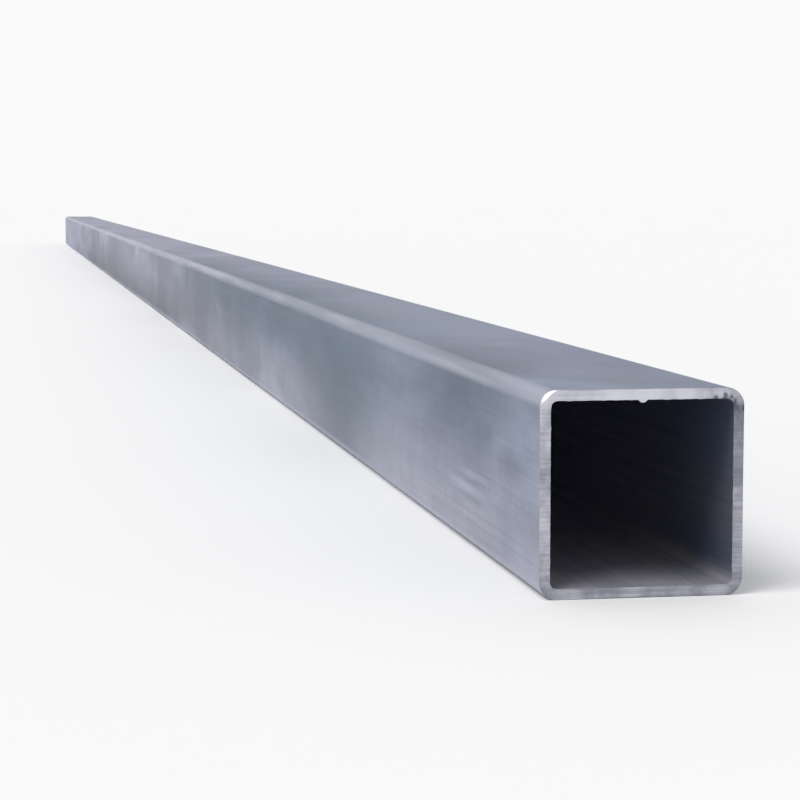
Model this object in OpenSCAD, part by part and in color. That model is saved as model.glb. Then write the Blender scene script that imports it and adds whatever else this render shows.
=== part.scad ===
// Square hollow section: a cold-formed, seam-welded steel tube, cut to a stock length.
// It lies along X with its underside on Z = 0 and the middle of that underside at the origin.
// The weld seam runs along the middle of the top wall.

/* [Section] */
// Outside width of the section, across the tube
section_w = 80; // [40:1:200]
// Outside height of the section
section_h = 80; // [40:1:200]
// Thickness of the wall
wall_t = 4; // [2:0.1:6]
// Outside radius of the four bends
bend_r = 7; // [6.5:0.1:16]

/* [Length] */
// Length of the tube between its sawn ends
tube_l = 6000; // [300:1:12000]

/* [Weld seam] */
// Width of the bead that the weld leaves inside the tube
bead_w = 3.5; // [3:0.1:6]
// Height of that bead above the inside of the wall
bead_h = 1; // [0.3:0.1:1.5]

/* [Hidden] */

// Sides of a full circle where a round is drawn on screen
round_fn = 96;

// The bore follows the outside at one wall thickness, so its corners share the bends' centres
bore_w = section_w - 2 * wall_t;
bore_h = section_h - 2 * wall_t;
bore_r = bend_r - wall_t;

// The bead's circle passes through its two toes on the wall and through its crown
bead_r = (pow(bead_w / 2, 2) + pow(bead_h, 2)) / (2 * bead_h);

steel_colour = "#8f97a5";

// Rectangle about the origin with true arcs for its corners
module rounded_rectangle(w, h, r) {
    square([w - 2 * r, h], center = true);
    square([w, h - 2 * r], center = true);
    for (x = [-1, 1], y = [-1, 1])
        translate([x * (w / 2 - r), y * (h / 2 - r)])
            circle(r = r, $fn = round_fn);
}

// Round-backed bead under the middle of the top wall, rooted half way into that wall
module weld_bead() {
    intersection() {
        translate([0, bore_h / 2 - bead_h + bead_r])
            circle(r = bead_r, $fn = round_fn);
        translate([-section_w / 2, 0])
            square([section_w, (bore_h + wall_t) / 2]);
    }
}

// The section that the rolls form and the weld closes, seen along the tube
module tube_section() {
    difference() {
        rounded_rectangle(section_w, section_h, bend_r);
        rounded_rectangle(bore_w, bore_h, bore_r);
    }
    weld_bead();
}

module tube() {
    color(steel_colour)
        translate([-tube_l / 2, 0, section_h / 2])
            rotate([90, 0, 90])
                linear_extrude(height = tube_l)
                    tube_section();
}

tube();
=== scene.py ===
"""Square hollow steel section, lying on a pale studio floor. Metres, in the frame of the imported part."""

import math

import bpy
import numpy as np
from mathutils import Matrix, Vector, noise


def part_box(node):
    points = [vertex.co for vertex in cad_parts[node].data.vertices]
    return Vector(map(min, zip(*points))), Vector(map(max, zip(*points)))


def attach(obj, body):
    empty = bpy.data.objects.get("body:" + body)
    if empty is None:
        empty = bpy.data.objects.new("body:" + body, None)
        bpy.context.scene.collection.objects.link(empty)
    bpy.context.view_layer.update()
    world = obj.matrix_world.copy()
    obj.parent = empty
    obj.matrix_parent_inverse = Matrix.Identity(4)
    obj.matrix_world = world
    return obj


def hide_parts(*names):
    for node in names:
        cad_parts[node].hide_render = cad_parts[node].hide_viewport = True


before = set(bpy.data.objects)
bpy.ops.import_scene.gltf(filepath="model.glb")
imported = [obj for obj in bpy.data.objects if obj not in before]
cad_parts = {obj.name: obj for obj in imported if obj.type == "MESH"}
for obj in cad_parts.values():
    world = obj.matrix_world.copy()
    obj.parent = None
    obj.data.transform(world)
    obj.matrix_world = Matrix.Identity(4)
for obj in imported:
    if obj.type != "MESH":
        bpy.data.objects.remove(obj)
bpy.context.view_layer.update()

# Sizes taken from the frame
tube_low, tube_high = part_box("tube")
LENGTH = tube_high.x - tube_low.x
WIDTH = tube_high.y - tube_low.y
HEIGHT = tube_high.z - tube_low.z
AXIS_Y = (tube_high.y + tube_low.y) / 2
AXIS_Z = (tube_high.z + tube_low.z) / 2

# Sizes of the section that the frame's boxes don't give
WALL = 0.004
BEND_RADIUS = 0.007
BORE_BEND_RADIUS = BEND_RADIUS - WALL
HALF_FLAT = WIDTH / 2 - BEND_RADIUS
BEAD_WIDTH = 0.0035
BEAD_HEIGHT = 0.001

# The flat that the weld runs along: flats are counted from the top one towards +Y
SEAM_SIDE = 0

# Material slots of the tube's mesh
SKIN, BORE, SAWN = range(3)

# How finely the tube is meshed
BEND_STEPS = 10
FLAT_STEP = 0.0015
BEAD_STEPS = 8
FIRST_RING = 0.0003
RING_GROWTH = 0.12
LONGEST_RING = 0.08

# Small departures from the true section
EDGE_BREAK = 0.0003
BURR_REACH = 0.0006
BURR_ROOT = 0.0012
DISHING = 0.00012
KNOCK_DEPTH = 0.0008
SEAM_WIDTH = 0.008
SEAM_DEPTH = 0.00005

# How many waves they have round the section, or along each metre of the tube
BURR_RAGS_ROUND = 104
BURR_TEETH_ROUND = 360
EDGE_WAVES_ROUND = 80
DISHING_WAVES_PER_M = 2.3

# Ripples along the weld bead: waves per metre, share of the bead's height, and row of the noise
BEAD_RIPPLES = (
    (170.0, 0.22, 3.1),
    (420.0, 0.12, 9.4),
)

# The map that the finishes are baked through: each band's share of its height, for each half of the tube,
# the gap between bands, and the distance from an end over which the map draws the tube larger
MAP_BANDS = {"skin": 0.40, "bore": 0.065, "rim": 0.02}
MAP_GAP = 0.005
MAP_NEAR_END = 0.8

# Marks on the side that the camera sees: how far behind the end, how high, how far they reach, how strong
# The first dull patch, near the top by the end, is partly painted shade; the second is the zinc's own tone
DULL_PATCHES_AND_SHADE = (
    (0.16, 0.070, (0.16, 0.03, 0.034), 0.90),
    (0.95, 0.060, (1.20, 0.06, 0.10), 1.00),
)
RUB_MARKS = (
    (0.125, 0.0330, (0.045, 0.02, 0.0032), 0.32),
    (0.145, 0.0260, (0.060, 0.02, 0.0032), 0.45),
)
SMUDGES = (
    (0.050, 0.0460, (0.040, 0.02, 0.0100), 0.38),
    (0.125, 0.0222, (0.045, 0.02, 0.0024), 0.25),
    (0.130, 0.0296, (0.060, 0.02, 0.0022), 0.12),
)
# Darker teal patches along the side
TEAL_PATCHES = (
    (0.50, 0.035, (0.25, 0.03, 0.090), 0.60),
    (1.00, 0.066, (0.50, 0.03, 0.030), 0.40),
)

# Distances behind that end over which the tint turns lavender, the pale dust and painted light low down
# stops, and the painted shade that follows it starts and stops, and how far up the side the dust and
# painted light and the painted shade reach
TINT_CHANGE = (0.8, 2.8)
DUST_AND_LIGHT_END = (0.3, 2.2)
SHADE_START = (1.5, 2.1)
SHADE_END = (4.2, 5.6)
DUST_AND_LIGHT_HEIGHT = 0.75 * HEIGHT
SHADE_HEIGHT = 0.95 * HEIGHT

# How far across the tube, from that side, its clouds grow fainter
PLAINER_FROM = 3 * BEND_RADIUS

# Depths in the bore between which its dull mouth gives way to paler zinc that is partly painted light, and
# heights above its bottom between which the dust there thins out
BORE_MOUTH_DEPTHS = (0.03, 0.30)
BORE_DUST_THINS = (0.001, 0.008)

# The darkened corner of the cut: how far in it lies, how far it reaches and how far its streaks lean
DARK_CORNER_INSET = 1.5 * WALL
DARK_CORNER_REACH = 0.018
STREAK_TURN = math.radians(45.0)

# The painted highlight at the knocked corner of the cut: how far in it lies and how far it reaches
GLINT_INSET = 0.25 * BEND_RADIUS
GLINT_REACH = 0.45 * BEND_RADIUS

# Where the camera stands, from the middle of the end that faces it, what it looks at and how far it sees
CAMERA_AHEAD = 0.851
CAMERA_ASIDE = 0.2406
CAMERA_HEIGHT = 0.1546
AIM_BEHIND_END = 0.54
AIM_HEIGHT = 0.028
LENS_MM = 105.0
SENSOR_MM = 36.0
SIGHT_START = 0.01
SIGHT_END = 200.0

# The floor, which fades out between two distances from the tube's middle
FLOOR_SIZE = 60.0
FLOOR_FADE_START = 6.0
FLOOR_FADE_END = 16.0

# The studio's surround, and the light in it
SURROUND_TONE = (0.95, 0.95, 0.95, 1.0)
OVERHEAD_TONE = (0.57, 0.58, 0.60, 1.0)
KEY_FROM = (0.35, -0.55, 1.0)
KEY_STRENGTH = 1.7
KEY_SPREAD_DEG = 35.0


def new_mesh_object(name, points, faces):
    """Adds a mesh object with these points and faces to the scene."""
    mesh = bpy.data.meshes.new(name)
    mesh.from_pydata(points, [], faces)
    mesh.update()
    made = bpy.data.objects.new(name, mesh)
    bpy.context.scene.collection.objects.link(made)
    return made


# The tube's section

def flat_places(side):
    """Places along one flat of the section, from its middle, closer together over the weld."""
    if side != SEAM_SIDE:
        steps = round(2 * HALF_FLAT / FLAT_STEP)
        return np.linspace(-HALF_FLAT, HALF_FLAT, steps + 1)
    half_bead = BEAD_WIDTH / 2
    steps = round((HALF_FLAT - half_bead) / FLAT_STEP)
    beside = np.linspace(half_bead, HALF_FLAT, steps + 1)
    bead = np.linspace(-half_bead, half_bead, BEAD_STEPS + 1)
    return np.concatenate([-beside[:0:-1], bead, beside[1:]])


def section_loop():
    """Points round the section, each flat and then the bend after it. A point has the centre it is measured
    from, its outward direction, its place on its flat (nan on a bend), how far it is round a bend (0 on a
    flat) and the number of its side."""
    loop = []
    for side in range(4):
        facing = math.pi / 2 - side * math.pi / 2
        out = np.array([math.cos(facing), math.sin(facing)])
        along = np.array([out[1], -out[0]])
        for place in flat_places(side):
            foot = out * HALF_FLAT + along * place
            loop.append((foot, out, place, 0.0, side))
        bend_centre = out * HALF_FLAT + along * HALF_FLAT
        for step in range(1, BEND_STEPS):
            turn = facing - step / BEND_STEPS * math.pi / 2
            direction = np.array([math.cos(turn), math.sin(turn)])
            loop.append((bend_centre, direction, math.nan, math.sin(step / BEND_STEPS * math.pi), side))
    return loop


def ring_depths():
    """Distances of the rings from the nearer end: close together at the cut, wide apart inside the tube."""
    depths = [0.0, EDGE_BREAK, BURR_ROOT]
    while depths[-1] < LENGTH / 2:
        step = min(FIRST_RING + RING_GROWTH * depths[-1], LONGEST_RING)
        depths.append(depths[-1] + step)
    depths[-1] = LENGTH / 2
    return depths


def smooth_noise(*place):
    """Perlin noise between -1 and 1 at up to three numbers."""
    return noise.noise(Vector((*place, *(0.37,) * (3 - len(place)))))


def bead_profile(place, x):
    """How far the weld bead stands into the bore at a place across its wall, rippled along the tube."""
    ripple = sum(share * smooth_noise(x * waves, row) for waves, share, row in BEAD_RIPPLES)
    height = BEAD_HEIGHT * (1.0 + ripple)
    radius = ((BEAD_WIDTH / 2) ** 2 + height**2) / (2 * height)
    return max(math.sqrt(max(radius**2 - place**2, 0.0)) - (radius - height), 0.0)


def dishing(place, x, side):
    """How far a flat's outside lies below the true face: a slight dishing that drifts along the tube."""
    if math.isnan(place):
        return 0.0
    across = 1.0 - (place / HALF_FLAT) ** 2
    drift = 0.6 + 0.4 * smooth_noise(x * DISHING_WAVES_PER_M, side * 5.0)
    return DISHING * across * drift


def scarfing(place, side):
    """The depth of the strip that the scarfing tool leaves where it planed the weld off outside."""
    on_strip = side == SEAM_SIDE and abs(place) <= SEAM_WIDTH / 2
    return SEAM_DEPTH if on_strip else 0.0


def burr(share_round, end_sign):
    """How far the saw's burr hangs into the bore at a point round the end."""
    ragged = smooth_noise(share_round * BURR_RAGS_ROUND, end_sign * 4.0, 1.0)
    fine = smooth_noise(share_round * BURR_TEETH_ROUND, end_sign * 7.0, 2.0)
    return BURR_REACH * (0.25 + 0.55 * max(ragged, 0.0) + 0.3 * max(fine, 0.0))


def edge_break(share_round, end_sign):
    """How far the outer edge of the cut is rubbed off at a point round the end."""
    return EDGE_BREAK * (0.7 + 0.5 * smooth_noise(share_round * EDGE_WAVES_ROUND, end_sign * 3.0, 6.0))


def knock(out, end_sign):
    """How far a blow has beaten back one corner of the +X end, at a point with this outward direction."""
    towards_corner = (out[1] - out[0]) / math.sqrt(2)
    return KNOCK_DEPTH * max(4 * towards_corner - 3, 0.0) if end_sign > 0 else 0.0


# The map that the tube's finishes are baked through

def band_starts():
    """Where each band of the map starts, for the half of the tube at its +X end and for the other half."""
    starts = {}
    height = MAP_GAP / 2
    for kind, share in MAP_BANDS.items():
        for half in (1, -1):
            starts[kind, half] = height
            height += share + MAP_GAP
    return starts


def across_map(share):
    """A place across the map's width, inside its margins."""
    return MAP_GAP + (1 - 2 * MAP_GAP) * share


def along_map(depth):
    """A place across the map's width for a distance from the nearer end, which is drawn larger."""
    return across_map(math.log1p(depth / MAP_NEAR_END) / math.log1p(LENGTH / 2 / MAP_NEAR_END))


def shares_round(loop, reach):
    """How far round the section each point lies, from 0 to 1, with the first point once more at the end."""
    spots = np.array([foot + out * reach for foot, out, *_ in loop])
    steps = np.linalg.norm(np.roll(spots, -1, axis=0) - spots, axis=1)
    return np.concatenate([[0.0], np.cumsum(steps)]) / steps.sum()


def map_line(across, up):
    """Places on the map for one loop of points, where one of the two is the same for all."""
    return np.stack(np.broadcast_arrays(across, up), axis=1)


# The tube

def tube_points(loop, rings, round_outside, round_inside):
    """The tube's points, ring by ring, the outside of each before its inside, and how far round a bend each
    point is. The last two arguments say how far round the section the points lie."""
    points = []
    bend_share = []
    for x, depth, end_sign in rings:
        burr_share = max(1.0 - depth / BURR_ROOT, 0.0)
        for inside in (False, True):
            for index, (foot, out, place, bend, side) in enumerate(loop):
                beaten_back = 0.0
                if inside:
                    reach = BORE_BEND_RADIUS
                    if side == SEAM_SIDE and abs(place) < BEAD_WIDTH / 2:
                        reach -= bead_profile(place, x)
                    reach -= burr_share * burr(round_inside[index], end_sign)
                else:
                    reach = BEND_RADIUS - dishing(place, x, side) - scarfing(place, side)
                    if depth == 0.0:
                        reach -= edge_break(round_outside[index], end_sign) + knock(out, end_sign)
                    elif depth == EDGE_BREAK:
                        beaten_back = knock(out, end_sign)
                spot = foot + out * reach
                points.append((x - beaten_back, AXIS_Y + spot[0], AXIS_Z + spot[1]))
                bend_share.append(bend)
    return points, bend_share


def build_tube():
    """The whole tube as one closed mesh: outside skin, inside skin and two cut ends."""
    loop = section_loop()
    count = len(loop)
    round_outside = shares_round(loop, BEND_RADIUS)
    round_inside = shares_round(loop, BORE_BEND_RADIUS)
    depths = ring_depths()
    rings = [(LENGTH / 2 - depth, depth, 1) for depth in depths]
    rings += [(depth - LENGTH / 2, depth, -1) for depth in reversed(depths[:-1])]
    points, bend_share = tube_points(loop, rings, round_outside, round_inside)

    faces = []
    slots = []
    map_places = []

    def strip(first, second, slot, first_line, second_line):
        """Quads between two loops of points, given by their first points and their lines on the map."""
        for index in range(count):
            after = (index + 1) % count
            faces.append((first + index, second + index, second + after, first + after))
            slots.append(slot)
            map_places.extend((first_line[index], second_line[index]))
            map_places.extend((second_line[index + 1], first_line[index + 1]))

    starts = band_starts()
    ring_size = 2 * count
    last = len(rings) - 1
    for number in range(last):
        near = number * ring_size
        far = near + ring_size
        half = rings[number + 1][2]
        near_place, far_place = (along_map(depth) for _, depth, _ in rings[number : number + 2])
        bore_up = starts["bore", half] + MAP_BANDS["bore"] * round_inside
        strip(near + count, far + count, BORE, map_line(near_place, bore_up), map_line(far_place, bore_up))
        if 0 < number < last - 1:
            skin_up = starts["skin", half] + MAP_BANDS["skin"] * round_outside
            strip(far, near, SKIN, map_line(far_place, skin_up), map_line(near_place, skin_up))
            continue
        skin_edge, cut_edge, bore_edge = (
            map_line(across_map(round_outside), starts["rim", half] + MAP_BANDS["rim"] * share)
            for share in (0.0, EDGE_BREAK / WALL, 1.0)
        )
        if number == 0:
            strip(far, near, SAWN, skin_edge, cut_edge)
            strip(near, near + count, SAWN, cut_edge, bore_edge)
        else:
            strip(far, near, SAWN, cut_edge, skin_edge)
            strip(far + count, far, SAWN, bore_edge, cut_edge)

    tube = new_mesh_object("square_tube", points, faces)
    mesh = tube.data
    mesh.polygons.foreach_set("material_index", slots)
    mesh.polygons.foreach_set("use_smooth", [True] * len(faces))
    mesh.set_sharp_from_angle(angle=math.radians(30))
    bend_attribute = mesh.attributes.new("bend", "FLOAT", "POINT")
    bend_attribute.data.foreach_set("value", bend_share)
    bake_map = mesh.uv_layers.new(name="OFBake")
    bake_map.uv.foreach_set("vector", np.ravel(map_places))
    return tube


# Nodes

def add_node(tree, kind, inputs, **settings):
    """Adds a node, sets its properties, and links or sets its inputs by name or number."""
    made = tree.nodes.new(kind)
    for name, value in settings.items():
        setattr(made, name, value)
    for name, value in inputs.items():
        if isinstance(value, bpy.types.NodeSocket):
            tree.links.new(value, made.inputs[name])
        else:
            made.inputs[name].default_value = value
    return made


def pattern(tree, place, scale, detail=2.0, roughness=0.5, distortion=0.0, turn=(0.0, 0.0, 0.0)):
    """Noise from 0 to 1 with its own number of repeats per metre along each axis."""
    mapping = add_node(
        tree, "ShaderNodeMapping", {"Vector": place, "Scale": scale, "Rotation": turn}
    )
    made = add_node(
        tree,
        "ShaderNodeTexNoise",
        {
            "Vector": mapping.outputs["Vector"],
            "Scale": 1.0,
            "Detail": detail,
            "Roughness": roughness,
            "Distortion": distortion,
        },
    )
    return made.outputs["Fac"]


def span(tree, value, low, high, to_low=0.0, to_high=1.0):
    """Takes a value from one range to another, smoothly and without passing its ends."""
    made = add_node(
        tree,
        "ShaderNodeMapRange",
        {"Value": value, "From Min": low, "From Max": high, "To Min": to_low, "To Max": to_high},
        interpolation_type="SMOOTHSTEP",
    )
    return made.outputs["Result"]


def math_node(tree, operation, *values):
    """One sum of numbers or sockets."""
    return add_node(tree, "ShaderNodeMath", dict(enumerate(values)), operation=operation).outputs[0]


def mix_colour(tree, share, first, second, blend="MIX"):
    """Mixes two colours by a share."""
    made = add_node(
        tree, "ShaderNodeMix", {0: share, 6: first, 7: second}, data_type="RGBA", blend_type=blend
    )
    return made.outputs[2]


def new_material(name):
    """A material with an empty node tree, its Principled shader and the object's own coordinates."""
    material = bpy.data.materials.new(name)
    material.use_nodes = True
    tree = material.node_tree
    tree.nodes.clear()
    shader = tree.nodes.new("ShaderNodeBsdfPrincipled")
    output = tree.nodes.new("ShaderNodeOutputMaterial")
    tree.links.new(shader.outputs["BSDF"], output.inputs["Surface"])
    place = tree.nodes.new("ShaderNodeTexCoord").outputs["Object"]
    return material, tree, shader, place


def bump(tree, shader, height, strength, distance):
    """Lets a height pattern move the shader's normal."""
    made = add_node(
        tree, "ShaderNodeBump", {"Height": height, "Strength": strength, "Distance": distance}
    )
    tree.links.new(made.outputs["Normal"], shader.inputs["Normal"])


def soft_spot(tree, place, centre, reach):
    """A soft-edged spot from 1 at its centre to 0 at its own reach along each axis."""
    offset = add_node(tree, "ShaderNodeVectorMath", {0: place, 1: centre}, operation="SUBTRACT").outputs[0]
    scaled = add_node(tree, "ShaderNodeVectorMath", {0: offset, 1: reach}, operation="DIVIDE").outputs[0]
    distance = add_node(tree, "ShaderNodeVectorMath", {0: scaled}, operation="LENGTH").outputs["Value"]
    return span(tree, distance, 0.0, 1.0, 1.0, 0.0)


def side_spot(tree, place, behind, height, reach):
    """A soft spot on the side that the camera sees, this far behind the end and this high."""
    return soft_spot(tree, place, (tube_high.x - behind, tube_low.y, height), reach)


# Materials

def zinc_tone(tree, place, clouds):
    """The zinc's colour: blue-grey at the end that faces the camera and lavender beyond, with clouds and
    dull green-grey patches, the first partly painted shade; low on the sides, pale dust and painted light
    near the end, and a painted grey shade further back."""
    blue_grey = (0.295, 0.330, 0.405, 1.0)
    lavender = (0.405, 0.400, 0.490, 1.0)
    dull_green = (0.145, 0.190, 0.225, 1.0)
    # The grey-green is painted shade; the pale low tone is pale dust and painted light
    grey_green = (0.190, 0.197, 0.216, 1.0)
    pale_low_tone = (0.500, 0.500, 0.565, 1.0)
    axes = add_node(tree, "ShaderNodeSeparateXYZ", {"Vector": place})
    behind_end = math_node(tree, "SUBTRACT", tube_high.x, axes.outputs["X"])
    wander = pattern(tree, place, (1.6, 11.0, 11.0), detail=3.0, distortion=0.4)
    wandered = math_node(tree, "ADD", behind_end, span(tree, wander, 0.3, 0.7, -0.6, 0.6))
    dust_and_light_level, shade_level = (
        span(tree, axes.outputs["Z"], tube_low.z, tube_low.z + reach, 1.0, 0.0)
        for reach in (DUST_AND_LIGHT_HEIGHT, SHADE_HEIGHT)
    )

    colour = mix_colour(tree, span(tree, wandered, *TINT_CHANGE), blue_grey, lavender)
    cloud_share = span(tree, axes.outputs["Y"], tube_low.y, tube_low.y + PLAINER_FROM, 1.0, 0.5)
    colour = mix_colour(tree, cloud_share, colour, span(tree, clouds, 0.33, 0.67, 0.78, 1.20), "MULTIPLY")
    # Dull green-grey patches, the first partly painted shade along the top edge
    for behind, height, reach, strength in DULL_PATCHES_AND_SHADE:
        spot = side_spot(tree, place, behind, height, reach)
        share = math_node(tree, "MULTIPLY", spot, span(tree, clouds, 0.35, 0.65, strength, 0.6 * strength))
        colour = mix_colour(tree, share, colour, dull_green)
    # Painted shade: a grey-green darkening low on the side further back
    shaded = math_node(tree, "MULTIPLY", shade_level, span(tree, wandered, *SHADE_START))
    shaded = math_node(tree, "MULTIPLY", shaded, span(tree, wandered, *SHADE_END, 0.9, 0.0))
    colour = mix_colour(tree, shaded, colour, grey_green)
    # Pale dust and painted light: the side made lighter low down near the end
    dust_and_light_share = math_node(tree, "MULTIPLY", dust_and_light_level, span(tree, behind_end, *DUST_AND_LIGHT_END, 0.95, 0.0))
    dust_and_light_share = math_node(tree, "MULTIPLY", dust_and_light_share, span(tree, clouds, 0.3, 0.6, 0.6, 1.0))
    return mix_colour(tree, dust_and_light_share, colour, pale_low_tone)


def zinc_skin():
    """Outside: satin zinc with clouds, soft bands, rolling lines, faint spangle, pale scuffs, bends painted
    pale as a highlight, and the marks on the side that the camera sees."""
    material, tree, shader, place = new_material("zinc_skin")
    shader.inputs["Metallic"].default_value = 0.7
    shader.inputs["Specular IOR Level"].default_value = 0.2
    shader.inputs["Specular Tint"].default_value = (0.47, 0.48, 0.57, 1.0)

    clouds = pattern(tree, place, (4.0, 18.0, 18.0), detail=4.0, roughness=0.52, distortion=0.5)
    bands = pattern(tree, place, (5.0, 9.0, 4.0), detail=2.0, distortion=0.5)
    lines = pattern(tree, place, (3.0, 700.0, 700.0), detail=2.0)
    scuffs = pattern(tree, place, (11.0, 900.0, 900.0), detail=1.0, turn=(0.0, 0.03, 0.03))
    bend_highlight_breakup = pattern(tree, place, (5.0, 160.0, 160.0), detail=2.0)
    spangle = add_node(tree, "ShaderNodeTexVoronoi", {"Vector": place, "Scale": 95.0})
    cells = add_node(tree, "ShaderNodeSeparateColor", {"Color": spangle.outputs["Color"]}).outputs[0]
    bend = add_node(tree, "ShaderNodeAttribute", {}, attribute_name="bend").outputs["Fac"]

    pale = (0.44, 0.455, 0.53, 1.0)
    # Pale tone for the rub marks, and for the painted highlight on the bends
    pale_rub_and_highlight = (0.64, 0.655, 0.73, 1.0)
    dark = (0.11, 0.125, 0.15, 1.0)
    teal = (0.130, 0.185, 0.215, 1.0)
    colour = zinc_tone(tree, place, clouds)
    for layer, low, high, amount in (
        (bands, 0.35, 0.65, 0.10),
        (lines, 0.3, 0.7, 0.05),
        (cells, 0.0, 1.0, 0.03),
    ):
        change = span(tree, layer, low, high, 1.0 - amount, 1.0 + amount)
        colour = mix_colour(tree, 1.0, colour, change, "MULTIPLY")
    scuff_patch = span(tree, clouds, 0.56, 0.7)
    scuff_patch = math_node(tree, "MULTIPLY", scuff_patch, span(tree, bend, 0.0, 0.3, 1.0, 0.0))
    scuff_share = math_node(tree, "MULTIPLY", span(tree, scuffs, 0.6, 0.72, 0.0, 0.5), scuff_patch)
    colour = mix_colour(tree, scuff_share, colour, pale)
    for marks, tone in ((RUB_MARKS, pale_rub_and_highlight), (SMUDGES, dark), (TEAL_PATCHES, teal)):
        for behind, height, reach, strength in marks:
            spot = side_spot(tree, place, behind, height, reach)
            colour = mix_colour(tree, math_node(tree, "MULTIPLY", spot, strength), colour, tone)
    # Painted highlight: the bends turned pale towards their crowns
    bend_highlight_share = math_node(tree, "MULTIPLY", bend, span(tree, bend_highlight_breakup, 0.3, 0.7, 0.4, 0.85))
    colour = mix_colour(tree, bend_highlight_share, colour, pale_rub_and_highlight)
    tree.links.new(colour, shader.inputs["Base Color"])

    roughness = math_node(
        tree, "ADD", span(tree, clouds, 0.3, 0.7, 0.36, 0.48), span(tree, lines, 0.3, 0.7, -0.04, 0.04)
    )
    roughness = math_node(tree, "SUBTRACT", roughness, math_node(tree, "MULTIPLY", bend, 0.12))
    tree.links.new(roughness, shader.inputs["Roughness"])
    relief = math_node(tree, "MULTIPLY", lines, span(tree, bend, 0.0, 0.5, 1.0, 0.2))
    bump(tree, shader, relief, 0.12, 0.0001)
    return material


def bore_wall():
    """Inside: dull dark steel in the mouth, paler zinc beyond that is partly painted light, and dust along
    the bottom.
    """
    material, tree, shader, place = new_material("bore_wall")
    shader.inputs["Metallic"].default_value = 0.25
    shader.inputs["Roughness"].default_value = 0.6
    clouds = pattern(tree, place, (11.0, 24.0, 24.0), detail=3.0)
    lines = pattern(tree, place, (5.0, 500.0, 500.0), detail=2.0)
    axes = add_node(tree, "ShaderNodeSeparateXYZ", {"Vector": place})
    depth = math_node(tree, "SUBTRACT", LENGTH / 2, math_node(tree, "ABSOLUTE", axes.outputs["X"]))
    blue_steel = (0.085, 0.105, 0.170, 1.0)
    grey_steel = (0.112, 0.117, 0.156, 1.0)
    deep_zinc_and_light = (0.600, 0.610, 0.760, 1.0)
    pale_low_tone = (0.400, 0.385, 0.430, 1.0)
    colour = mix_colour(tree, span(tree, clouds, 0.35, 0.65), blue_steel, grey_steel)
    # Paler zinc deeper in, partly painted light
    colour = mix_colour(tree, span(tree, depth, *BORE_MOUTH_DEPTHS), colour, deep_zinc_and_light)
    dust_low, dust_high = (tube_low.z + WALL + height for height in BORE_DUST_THINS)
    settled = math_node(
        tree,
        "MULTIPLY",
        span(tree, axes.outputs["Z"], dust_low, dust_high, 0.8, 0.0),
        span(tree, clouds, 0.3, 0.6, 0.5, 1.0),
    )
    settled = math_node(tree, "MULTIPLY", settled, span(tree, depth, *BORE_MOUTH_DEPTHS, 1.0, 0.3))
    colour = mix_colour(tree, settled, colour, pale_low_tone)
    colour = mix_colour(tree, 1.0, colour, span(tree, lines, 0.3, 0.7, 0.90, 1.10), "MULTIPLY")
    tree.links.new(colour, shader.inputs["Base Color"])
    bump(tree, shader, lines, 0.2, 0.0001)
    return material


def sawn_edge():
    """Cut ends: paler bare steel with fine saw lines, brightest along the top, darker low down, and darker
    to one side with painted shade. At the +X end one top corner is darker and streaked, and the other has a
    painted highlight where it is knocked."""
    material, tree, shader, place = new_material("sawn_edge")
    shader.inputs["Metallic"].default_value = 0.9
    shader.inputs["Specular Tint"].default_value = (0.8, 0.82, 0.88, 1.0)
    marks = pattern(tree, place, (40.0, 40.0, 1000.0), detail=3.0, turn=(0.12, 0.0, 0.0))
    clouds = pattern(tree, place, (60.0, 60.0, 60.0), detail=4.0, roughness=0.6)
    streaks = pattern(tree, place, (60.0, 360.0, 220.0), detail=1.0, turn=(STREAK_TURN, 0.0, 0.0))
    axes = add_node(tree, "ShaderNodeSeparateXYZ", {"Vector": place})
    bright = (0.66, 0.66, 0.73, 1.0)
    dull = (0.20, 0.208, 0.25, 1.0)
    grime = (0.055, 0.058, 0.080, 1.0)
    painted_glint = (0.92, 0.92, 0.95, 1.0)
    clean_and_painted_shade = math_node(
        tree, "MULTIPLY", span(tree, clouds, 0.3, 0.7, 0.55, 1.0), span(tree, marks, 0.3, 0.7, 0.75, 1.0)
    )
    # Lighter along the top and darker low down; the darkening towards +Y is painted shade
    for axis, low, high, at_low, at_high in (
        ("Z", tube_high.z - 2 * WALL, tube_high.z - WALL, -0.20, 0.12),
        ("Z", tube_low.z + WALL, tube_low.z + 3 * WALL, -0.10, 0.00),
        ("Y", tube_high.y - 2 * WALL, tube_high.y - WALL, 0.00, -0.20),
    ):
        clean_and_painted_shade = math_node(tree, "ADD", clean_and_painted_shade, span(tree, axes.outputs[axis], low, high, at_low, at_high))
    # A darker corner of the cut, with dark streaks
    dark_corner = (tube_high.x, tube_high.y - DARK_CORNER_INSET, tube_high.z - DARK_CORNER_INSET)
    dark_corner_share = soft_spot(tree, place, dark_corner, (DARK_CORNER_REACH,) * 3)
    clean_and_painted_shade = math_node(tree, "SUBTRACT", clean_and_painted_shade, math_node(tree, "MULTIPLY", dark_corner_share, 0.2))
    colour = mix_colour(tree, span(tree, clean_and_painted_shade, 0.0, 1.0), dull, bright)
    streaked = math_node(
        tree, "MULTIPLY", span(tree, dark_corner_share, 0.2, 0.8), span(tree, streaks, 0.44, 0.66, 0.0, 0.8)
    )
    colour = mix_colour(tree, streaked, colour, grime)
    # Painted highlight on the knocked corner of the cut
    glint_corner = (tube_high.x, tube_low.y + GLINT_INSET, tube_high.z - GLINT_INSET)
    painted_glint_share = soft_spot(tree, place, glint_corner, (GLINT_REACH,) * 3)
    colour = mix_colour(tree, painted_glint_share, colour, painted_glint)
    tree.links.new(colour, shader.inputs["Base Color"])
    tree.links.new(span(tree, marks, 0.3, 0.7, 0.36, 0.52), shader.inputs["Roughness"])
    bump(tree, shader, marks, 0.35, 0.0001)
    return material


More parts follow.
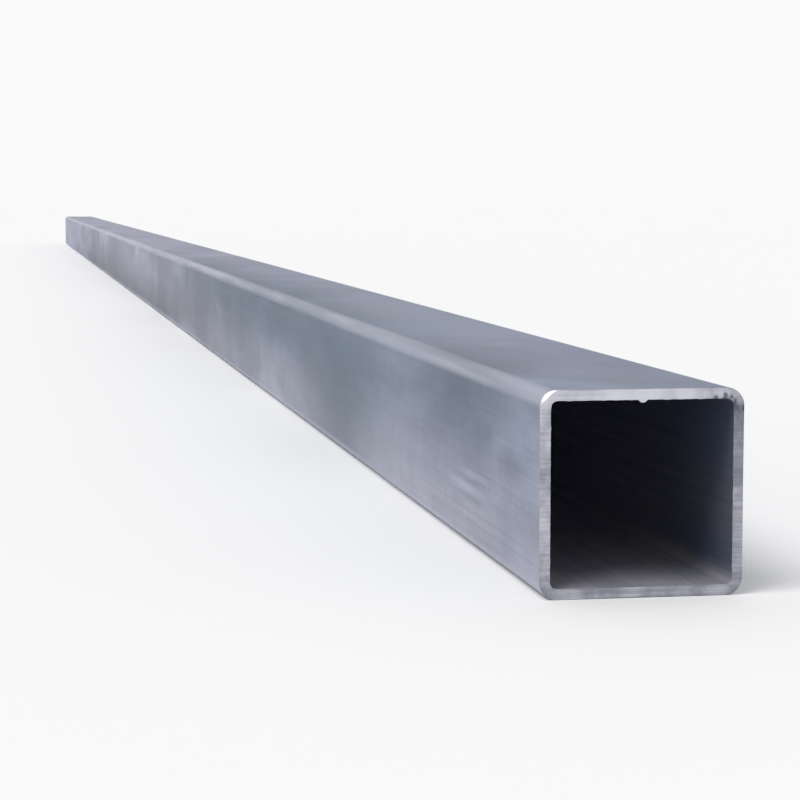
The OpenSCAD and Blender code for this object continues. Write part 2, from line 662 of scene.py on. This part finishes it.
def floor_material():
    """Pale matt floor that fades out far from the tube."""
    material, tree, shader, place = new_material("pale_floor")
    shader.inputs["Base Color"].default_value = (0.86, 0.855, 0.85, 1.0)
    shader.inputs["Roughness"].default_value = 0.9
    distance = add_node(tree, "ShaderNodeVectorMath", {0: place}, operation="LENGTH").outputs["Value"]
    cover = span(tree, distance, FLOOR_FADE_START, FLOOR_FADE_END, 1.0, 0.0)
    tree.links.new(cover, shader.inputs["Alpha"])
    return material


# Stage, light and camera

def build_floor():
    """A flat floor under the tube."""
    half = FLOOR_SIZE / 2
    corners = [(-half, -half, 0.0), (half, -half, 0.0), (half, half, 0.0), (-half, half, 0.0)]
    floor = new_mesh_object("floor", corners, [(0, 1, 2, 3)])
    floor.location.z = tube_low.z
    floor.data.materials.append(floor_material())


def build_world():
    """An even pale surround that is greyer overhead."""
    world = bpy.data.worlds.new("studio")
    world.use_nodes = True
    tree = world.node_tree
    tree.nodes.clear()
    direction = tree.nodes.new("ShaderNodeTexCoord").outputs["Generated"]
    rise = add_node(tree, "ShaderNodeSeparateXYZ", {"Vector": direction}).outputs["Z"]
    colour = mix_colour(tree, span(tree, rise, 0.1, 0.8), SURROUND_TONE, OVERHEAD_TONE)
    background = add_node(tree, "ShaderNodeBackground", {"Color": colour})
    output = tree.nodes.new("ShaderNodeOutputWorld")
    tree.links.new(background.outputs["Background"], output.inputs["Surface"])
    bpy.context.scene.world = world


def build_key_light():
    """One very broad, soft light from above, in front and to the left."""
    light = bpy.data.lights.new("key_light", "SUN")
    light.energy = KEY_STRENGTH
    light.angle = math.radians(KEY_SPREAD_DEG)
    made = bpy.data.objects.new("key_light", light)
    made.rotation_euler = (-Vector(KEY_FROM)).to_track_quat("-Z", "Y").to_euler()
    bpy.context.scene.collection.objects.link(made)


def build_camera():
    """The camera, low and close to one end, looking along the tube."""
    end_x = tube_high.x
    place = Vector((end_x + CAMERA_AHEAD, AXIS_Y - CAMERA_ASIDE, tube_low.z + CAMERA_HEIGHT))
    aim = Vector((end_x - AIM_BEHIND_END, AXIS_Y, tube_low.z + AIM_HEIGHT))
    data = bpy.data.cameras.new("camera")
    data.lens = LENS_MM
    data.sensor_width = SENSOR_MM
    data.clip_start = SIGHT_START
    data.clip_end = SIGHT_END
    camera = bpy.data.objects.new("camera", data)
    camera.location = place
    camera.rotation_euler = (aim - place).to_track_quat("-Z", "Y").to_euler()
    bpy.context.scene.collection.objects.link(camera)
    bpy.context.scene.camera = camera


tube = build_tube()
for material in (zinc_skin(), bore_wall(), sawn_edge()):
    tube.data.materials.append(material)
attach(tube, "root")
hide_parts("tube")

build_floor()
build_world()
build_key_light()
build_camera()
bpy.context.scene.view_settings.view_transform = "Standard"
